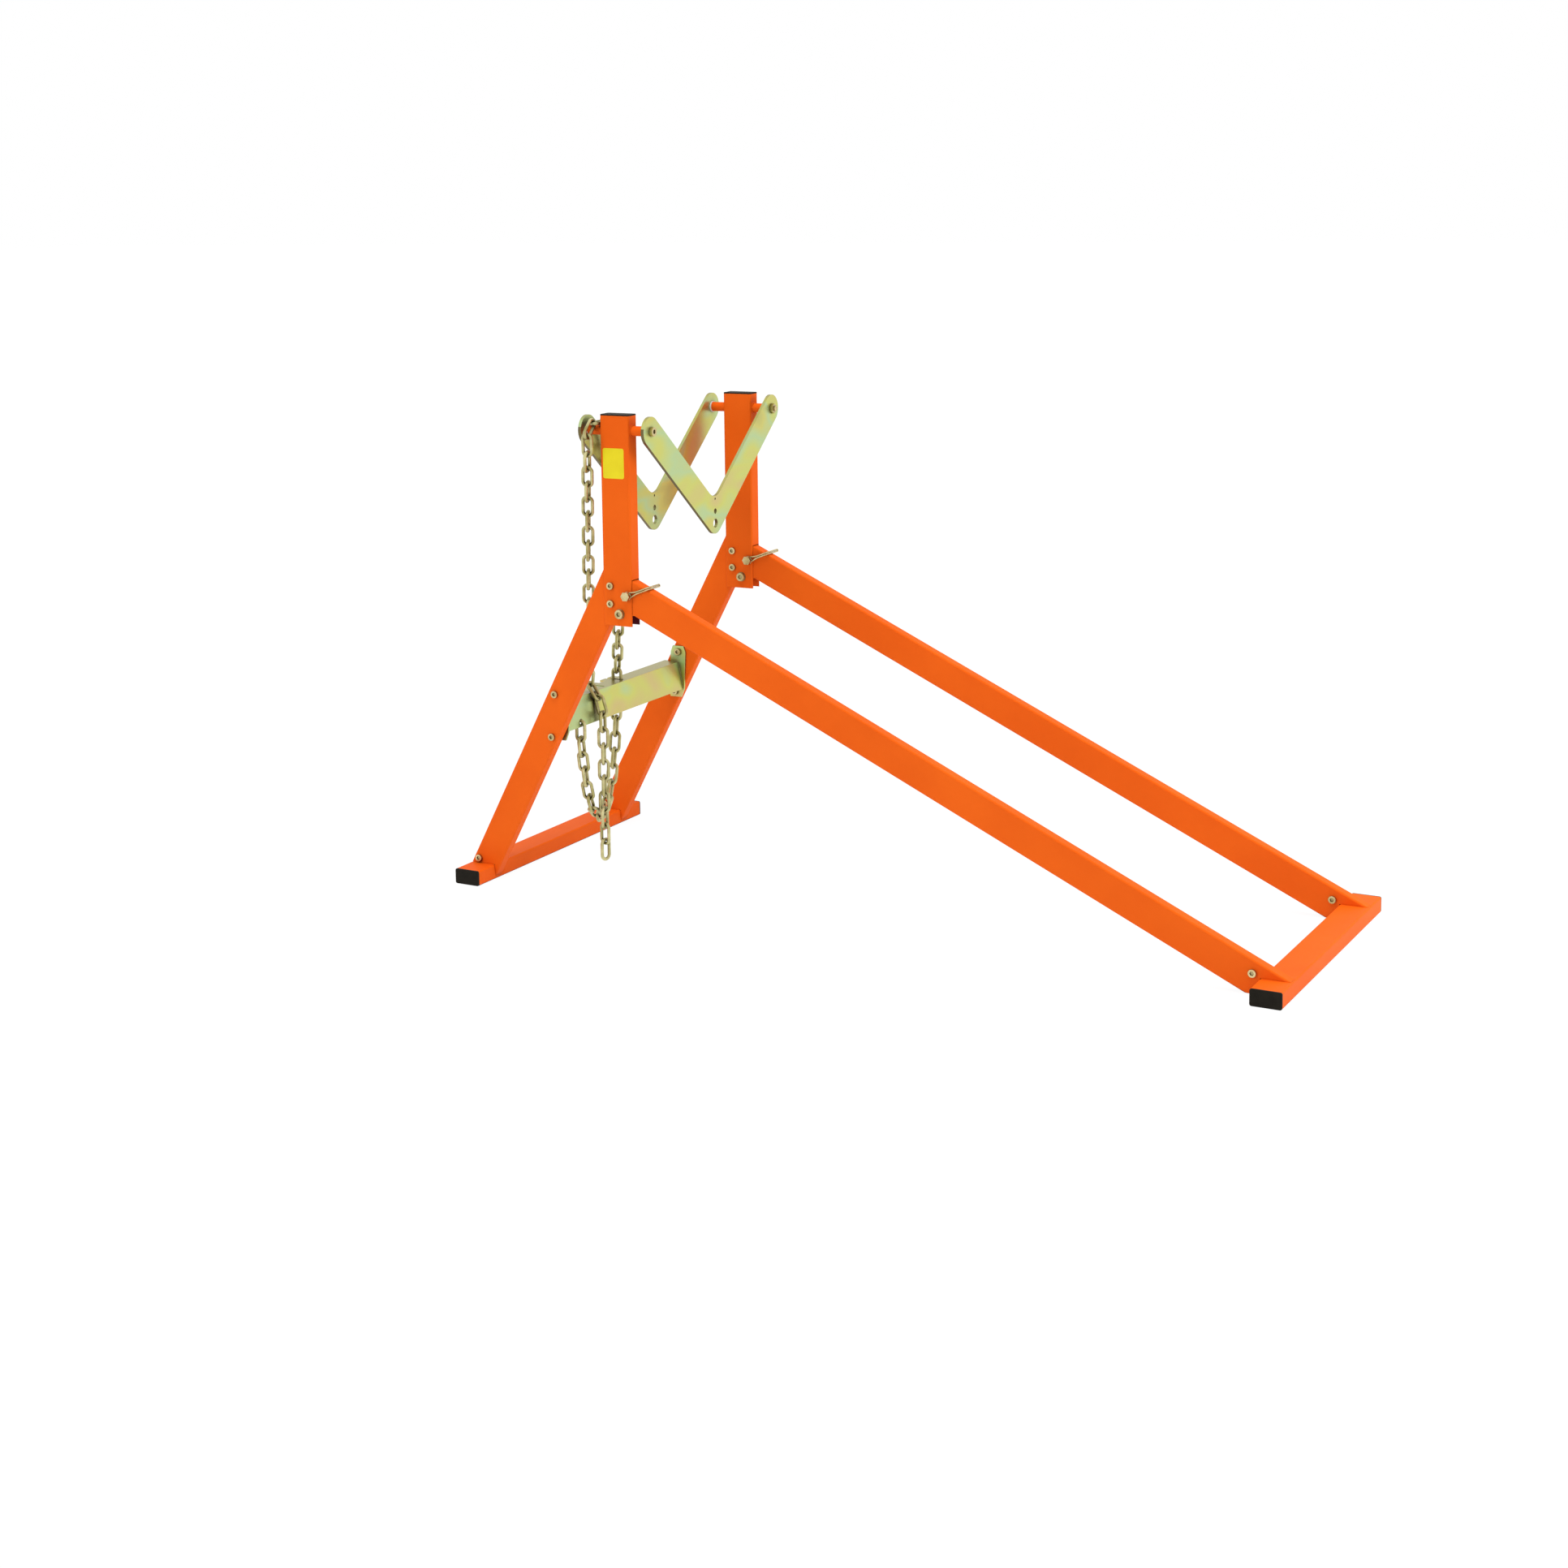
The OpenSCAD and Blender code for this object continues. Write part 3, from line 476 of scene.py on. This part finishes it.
def set_links(ends, lying_first, roll=0, waves=1, before=None, after=None):
    """Links between the points in turn, every second one a quarter turn on.

    Where the chain bends in the plane of a link, that link's end slides round the wire
    of its neighbour. before and after are the ways of the links next to the list.
    """
    ways = [way(start, stop) for start, stop in zip(ends, ends[1:])]
    ways = [before or ways[0]] + ways + [after or ways[-1]]
    made = []
    for spot, (start, stop) in enumerate(zip(ends, ends[1:])):
        along = ways[spot + 1]
        level = (Vector((1, 0, 0)) - along.x * along).normalized()
        turn = roll * math.sin(math.pi * waves * (spot + 0.5) / (len(ends) - 1))
        if (spot % 2 == 0) != lying_first:
            turn += math.pi / 2
        side = math.cos(turn) * level - math.sin(turn) * along.cross(level)
        start = start + link_hold * ways[spot].dot(side) * side
        stop = stop - link_hold * ways[spot + 2].dot(side) * side
        along = way(start, stop)
        side = (side - side.dot(along) * along).normalized()
        place = Matrix((along, side, along.cross(side))).transposed().to_4x4()
        place.translation = (start + stop) / 2
        one = link.copy()
        one.data = link.data.copy()
        one.data.transform(place)
        bpy.context.collection.objects.link(one)
        made.append(one)
    return made


def one_chain(name, node, made):
    """Joins links into one piece, which is shown in place of a node."""
    bpy.ops.object.select_all(action="DESELECT")
    for one in made:
        one.select_set(True)
    bpy.context.view_layer.objects.active = made[0]
    bpy.ops.object.join()
    made[0].name = name
    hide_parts(node)
    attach(made[0], "frame")


# Over the tube, the near strand goes down to the crossbar's front edge, and the far strand
# behind the front cradle plate and under it to the far slot.
down = Vector((0, 0, -1))
chain_roll = math.radians(22)
seat_x = -0.41240
seat_rise = 0.0106
seat_fall = math.radians(45)
near_links, plate_links, far_links = 16, 4, 14
tube_low, tube_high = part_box("near_cross_tube")
tube_axis = Vector((
    seat_x, (tube_low[1] + tube_high[1]) / 2, (tube_low[2] + tube_high[2]) / 2
))
seats, falls = [], []
for side in (-1, 1):
    fall_way = Vector((0, side * math.cos(seat_fall), -math.sin(seat_fall)))
    seats.append(tube_axis + Vector((0, side * link_step / 2, seat_rise)))
    falls.append(seats[-1] + link_step * fall_way)
near_drop = falls[0] + link_step * down
edge_back = Vector((-0.4994, -0.0935, 0.3062))
edge_way = Vector((0.600, 0, -0.800))
plate_pass = falls[1] + Vector((-0.0036, 0.0400, -0.0942))
far_hook = Vector((-0.5110, 0.0100, 0.2830))
far_above = far_hook - link_step * down
near_way = way(near_drop, edge_back)
plate_way = way(falls[1], plate_pass)
far_way = way(plate_pass, far_above)
over_tube = set_links(
    [falls[0], seats[0], seats[1], falls[1]], False, before=-down, after=plate_way
)
over_tube += set_links(
    [falls[0], near_drop], True, before=way(seats[0], falls[0]), after=near_way
)
over_tube += set_links(
    even_points(near_drop, edge_back, near_links), False, chain_roll,
    before=down, after=edge_way,
)
over_tube += set_links(
    even_points(falls[1], plate_pass, plate_links), True,
    before=way(seats[1], falls[1]), after=far_way,
)
over_tube += set_links(
    even_points(plate_pass, far_above, far_links), True, chain_roll,
    before=plate_way, after=down,
)
over_tube += set_links([far_above, far_hook], True, before=far_way)
one_chain("chain_over_tube", "chain_upper_run", over_tube)

# From the far slot the chain comes back in a slack loop to a hole in the crossbar's face.
loop_links = 15
loop_roll = chain_roll * 0.7
face_hole = Vector((-0.4888, -0.1400, 0.2537))
hole_fall = face_hole + link_step * down
hung_loop = set_links([face_hole, hole_fall], True)
hung_loop += set_links(
    hung_points(hole_fall, far_hook, loop_links), False, loop_roll, waves=2,
    before=down, after=-down,
)
one_chain("chain_hung_loop", "chain_loop", hung_loop)

# The near strand ends in a tail that hangs in front of the crossbar.
tail_links = 9
bend_way = Vector((0.290, 0, -0.957))
edge_front = edge_back + link_step * edge_way
tail_bend = edge_front + link_step * bend_way
tail_ends = [tail_bend + spot * link_step * down for spot in range(tail_links + 1)]
front_tail = set_links([edge_back, edge_front], False, before=near_way, after=bend_way)
front_tail += set_links([edge_front, tail_bend], True, before=edge_way, after=down)
front_tail += set_links(tail_ends, False, chain_roll, waves=1.35, before=bend_way)
one_chain("chain_front_tail", "chain_tail", front_tail)
bpy.data.objects.remove(link)


# Bolts, nuts, lock pins and wire clips
# Cold-headed steel fasteners, turned pins and drawn spring wire, barrel plated in bright
# zinc. They go through the drilled tubes and plates and carry painted shade where they seat.
bright_dull = (0.48, 0.36, 0.15, 1)
bright_pale = (0.76, 0.63, 0.34, 1)
# Painted shade colour where the fasteners seat.
bright_seat_shade = (0.05, 0.04, 0.02, 1)
bright_zinc, bright_shader = new_finish("bright_zinc", metallic=0.95, roughness=0.27)
bright_tone = mottle(
    bright_zinc, bright_dull, bright_pale, scale=80, detail=3, low=0.3, high=0.7
)
# Painted shade where other surfaces are near.
bright_colour = shade_by(bright_zinc, 0.006, bright_tone, bright_seat_shade)
join(bright_zinc, bright_colour, mix_result, bright_shader, "Base Color")
bright_soft = add_node(bright_zinc, "ShaderNodeBevel", Radius=0.0005)
grain(bright_zinc, bright_shader, bright_soft, scale=700, strength=0.05, depth=0.0003)
dress(
    bright_zinc, "near_arm_bolt", "far_arm_bolt", "arm_nuts", "leg_bolts", "leg_nuts",
    "near_pivot_bolt", "far_pivot_bolt", "pivot_nuts", "pivot_washers", "crossbar_bolts",
    "crossbar_nuts", "front_foot_bolts", "front_foot_nuts", "rear_foot_bolts",
    "rear_foot_nuts", "near_lock_pin", "far_lock_pin", "near_pin_clip", "far_pin_clip",
)


# Nylon washers
# Turned white nylon spacers between the cross tubes and the cradle plates, slipped over
# the arm bolts.
nylon_dull = (0.74, 0.73, 0.68, 1)
nylon_pale = (0.84, 0.83, 0.79, 1)
white_nylon, nylon_shader = new_finish("white_nylon", metallic=0.0, roughness=0.42)
nylon_tone = mottle(
    white_nylon, nylon_dull, nylon_pale, scale=120, detail=2, low=0.3, high=0.7
)
join(white_nylon, nylon_tone, "Color", nylon_shader, "Base Color")
nylon_soft = add_node(white_nylon, "ShaderNodeBevel", Radius=0.0005)
grain(white_nylon, nylon_shader, nylon_soft, scale=900, strength=0.06, depth=0.0003)
dress(white_nylon, "nylon_washers")


# Label
# A blank sticker of yellow vinyl film, die cut with rounded corners and rubbed onto the
# near post's outer face.
label_low = (-0.3965, 0.6530)
label_high = (-0.3599, 0.6990)
label_face = -0.2060
label_corner = 0.0032
label_thick = 0.00015
label_gap = 0.00005
vinyl_deep = (0.70, 0.57, 0.005, 1)
vinyl_pale = (0.76, 0.64, 0.008, 1)
bpy.ops.mesh.primitive_plane_add(size=1)
label = bpy.context.object
label.name = "post_label"
bpy.ops.object.mode_set(mode="EDIT")
bpy.ops.transform.resize(value=(label_high[0] - label_low[0], label_high[1] - label_low[1], 1))
bpy.ops.mesh.select_all(action="SELECT")
bpy.ops.mesh.bevel(offset=label_corner, segments=6, affect="VERTICES")
bpy.ops.mesh.select_all(action="SELECT")
bpy.ops.mesh.extrude_region_move(TRANSFORM_OT_translate={"value": (0, 0, label_thick)})
bpy.ops.mesh.select_all(action="SELECT")
bpy.ops.mesh.normals_make_consistent(inside=False)
bpy.ops.object.mode_set(mode="OBJECT")
label.matrix_world = Matrix.Translation((
    (label_low[0] + label_high[0]) / 2,
    label_face - label_gap,
    (label_low[1] + label_high[1]) / 2,
)) @ Matrix.Rotation(math.radians(90), 4, "X")
bpy.ops.object.transform_apply(location=True, rotation=True, scale=True)
label_vinyl, vinyl_shader = new_finish(
    "yellow_vinyl", metallic=0.0, roughness=0.36, gloss=0.3
)
vinyl_tone = mottle(
    label_vinyl, vinyl_deep, vinyl_pale, scale=40, detail=3, low=0.3, high=0.75
)
join(label_vinyl, vinyl_tone, "Color", vinyl_shader, "Base Color")
label.data.materials.append(label_vinyl)
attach(label, "frame")


# Studio
# A white floor and a white surround, which look pure white but light the stand a little
# less, with soft lamps above, on the camera's side and behind.
floor_grey = (0.9, 0.9, 0.9, 1)
floor_wide = 60
floor_level = -0.0006
floor_bright = 1.04
floor_near, floor_far = 0.8, 1.6
floor_near_share = 0.90
sky_white = (1, 1, 1, 1)
sky_bounced, sky_seen = 0.55, 1.0


def seen_mask(owner):
    """One for camera, glossy and transmission rays, and nought for those that light."""
    ray = add_node(owner, "ShaderNodeLightPath")
    seen = reckon_two(owner, "MAXIMUM", ray, "Is Camera Ray", ray, "Is Glossy Ray")
    return reckon_two(owner, "MAXIMUM", seen, 0, ray, "Is Transmission Ray")


bpy.ops.mesh.primitive_plane_add(size=floor_wide, location=(0, 0, floor_level))
floor = bpy.context.object
floor.name = "studio_floor"
floor_white = bpy.data.materials.new("floor_white")
floor_white.use_nodes = True
floor_white.node_tree.nodes.clear()
floor_out = add_node(floor_white, "ShaderNodeOutputMaterial")
floor_matt = add_node(floor_white, "ShaderNodeBsdfDiffuse", Color=floor_grey)
floor_glow = add_node(floor_white, "ShaderNodeEmission", Strength=floor_bright)
floor_place = add_node(floor_white, "ShaderNodeNewGeometry")
floor_reach = add_node(floor_white, "ShaderNodeVectorMath")
floor_reach.operation = "LENGTH"
floor_fade = add_node(
    floor_white, "ShaderNodeMapRange",
    From_Min=floor_near, From_Max=floor_far, To_Min=floor_near_share,
)
floor_mix = add_node(floor_white, "ShaderNodeMixShader")
join(floor_white, floor_place, "Position", floor_reach, 0)
join(floor_white, floor_reach, "Value", floor_fade, "Value")
floor_share = reckon_two(
    floor_white, "MULTIPLY", seen_mask(floor_white), 0, floor_fade, "Result"
)
join(floor_white, floor_share, 0, floor_mix, "Fac")
join(floor_white, floor_matt, 0, floor_mix, 1)
join(floor_white, floor_glow, 0, floor_mix, 2)
join(floor_white, floor_mix, 0, floor_out, "Surface")
floor.data.materials.append(floor_white)

surround = bpy.data.worlds.new("white_surround")
bpy.context.scene.world = surround
surround.use_nodes = True
sky_light = surround.node_tree.nodes["Background"]
sky_light.inputs["Color"].default_value = sky_white
sky_level = add_node(surround, "ShaderNodeMapRange", To_Min=sky_bounced, To_Max=sky_seen)
join(surround, seen_mask(surround), 0, sky_level, "Value")
join(surround, sky_level, "Result", sky_light, "Strength")


def soft_lamp(name, place, aim, size, power):
    bpy.ops.object.light_add(type="AREA", location=place)
    lamp = bpy.context.object
    lamp.name = name
    lamp.data.shape = "DISK"
    lamp.data.size = size
    lamp.data.energy = power
    lamp.visible_glossy = False
    lamp.rotation_euler = (Vector(aim) - Vector(place)).to_track_quat("-Z", "Y").to_euler()


soft_lamp("overhead", (0.0, -0.5, 3.4), aim=(-0.1, 0, 0.3), size=2.6, power=62)
soft_lamp("camera_side", (-1.3, -3.3, 1.7), aim=(-0.1, 0, 0.35), size=2.0, power=37)
soft_lamp("rear_side", (1.7, 0.5, 1.0), aim=(-0.62, 0, 0.2), size=1.2, power=20)
